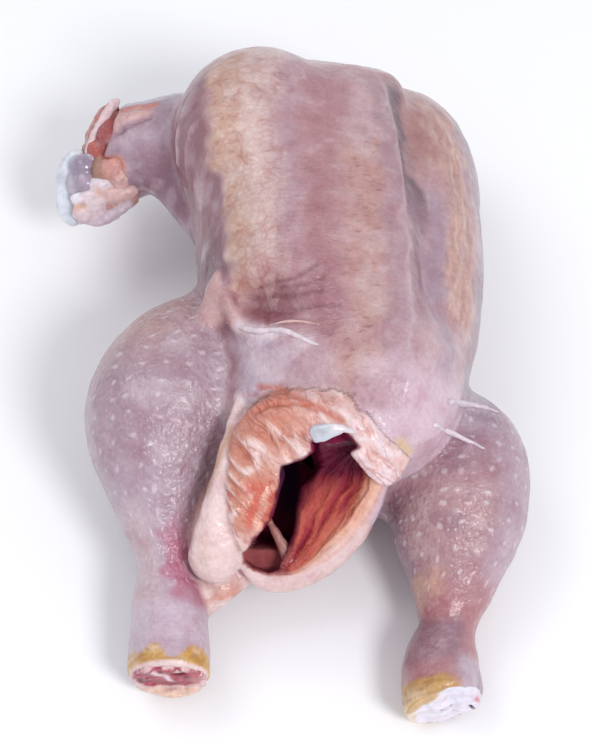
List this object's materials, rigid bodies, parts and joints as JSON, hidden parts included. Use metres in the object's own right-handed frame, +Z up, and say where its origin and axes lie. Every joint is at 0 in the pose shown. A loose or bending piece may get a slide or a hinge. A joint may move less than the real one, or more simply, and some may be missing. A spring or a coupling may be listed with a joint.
{
  "type": "whole raw chicken",
  "caption": "Dressed raw chicken lying on its back, with both drumsticks, a cut wing, loose skin and an open body cavity.",
  "frame": {"origin": "on the table under the middle of the part's box", "axes": "+Z up from the table through the breast, +Y towards the neck, -Y towards the tail and the hocks"},
  "size_m": [0.1774, 0.264, 0.099],
  "materials": {
    "skin": "thin raw poultry skin, lilac pink with peach feather tracts, damp and softly glossy",
    "flesh": "cut raw flesh and the red inner side of the skin, wet",
    "fat": "pale peach and yellow fat, smooth and waxy",
    "cartilage": "white blue joint cartilage and tendon, smooth and wet"
  },
  "bodies": {
    "root": {"chicken": "skin"}
  },
  "joints": []
}
